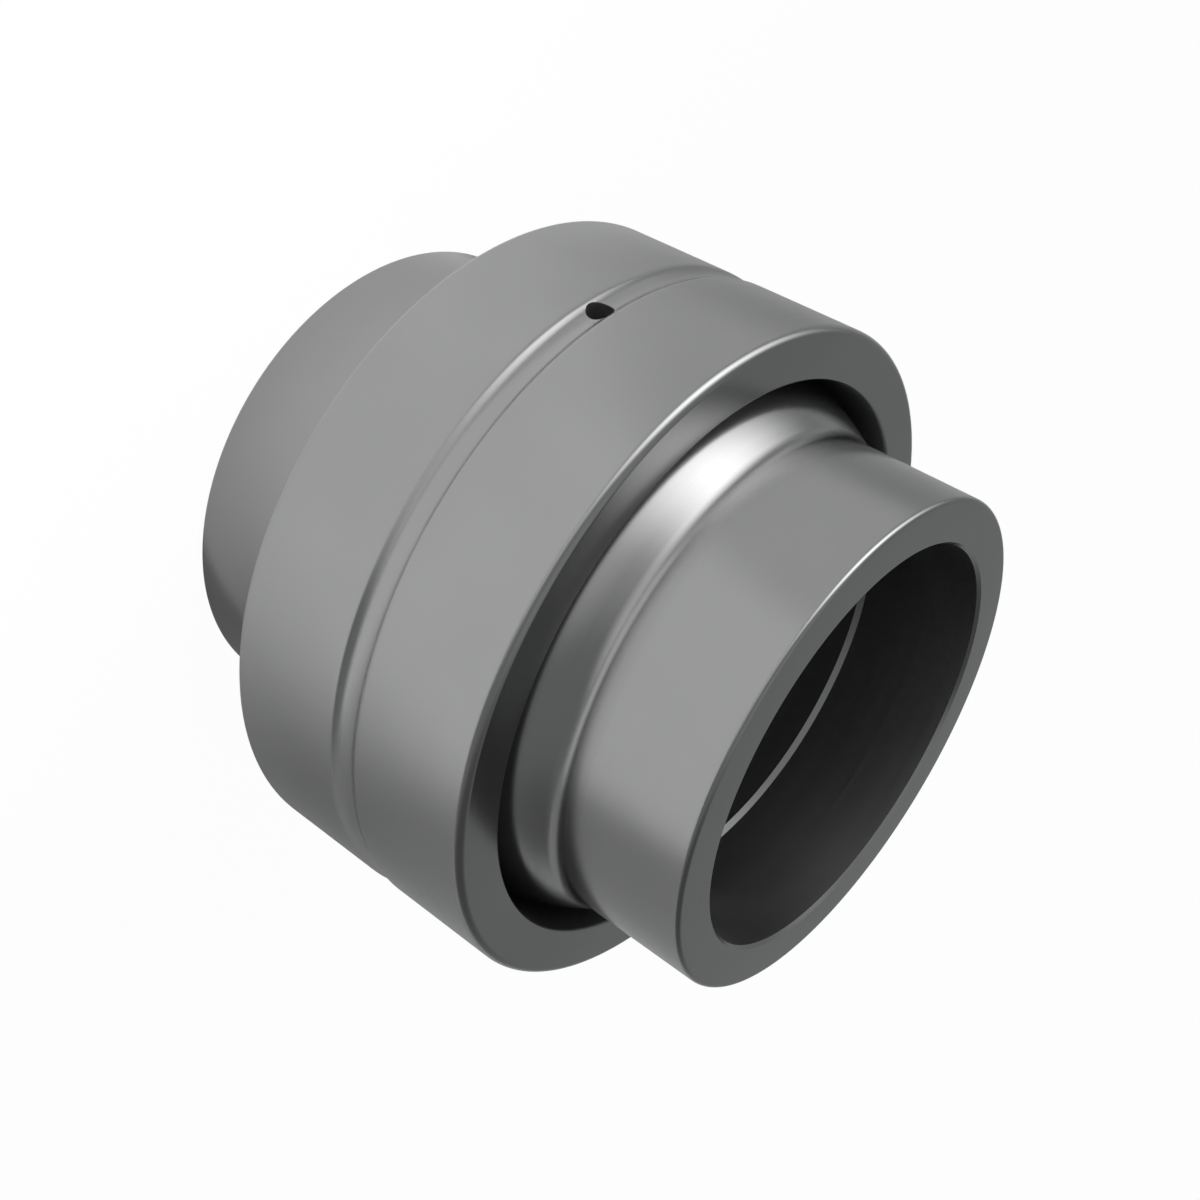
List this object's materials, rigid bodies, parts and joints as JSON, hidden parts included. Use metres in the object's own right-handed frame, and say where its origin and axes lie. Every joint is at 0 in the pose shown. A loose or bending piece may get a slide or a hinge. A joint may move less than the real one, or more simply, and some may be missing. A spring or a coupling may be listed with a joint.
{
  "type": "spherical plain bearing",
  "caption": "Radial spherical plain bearing: a hollow-seated outer ring swivels on the ball of a long one-piece inner ring with cylindrical extensions and a through bore.",
  "frame": {"origin": "centre of the ball, on the bore's axis in the middle plane of both rings", "axes": "+Z along the bore's axis, towards the end that faces the viewer in the picture; the first lubrication hole faces -Y, and the second +Y"},
  "size_m": [0.068, 0.068, 0.0604],
  "materials": {
    "outer_ring": "hardened bearing steel, ground outside diameter with a satin oxide finish",
    "inner_ring": "hardened bearing steel, ground and polished ball, satin extensions"
  },
  "bodies": {
    "inner": {"inner_ring": "inner_ring"},
    "outer": {"outer_ring": "outer_ring"}
  },
  "joints": [
    {"name": "tilt", "type": "hinge", "parent": "inner", "child": "outer", "pos_m": [0, 0, 0], "axis": [1, 0, 0], "range_deg": [-12, 12]}
  ]
}
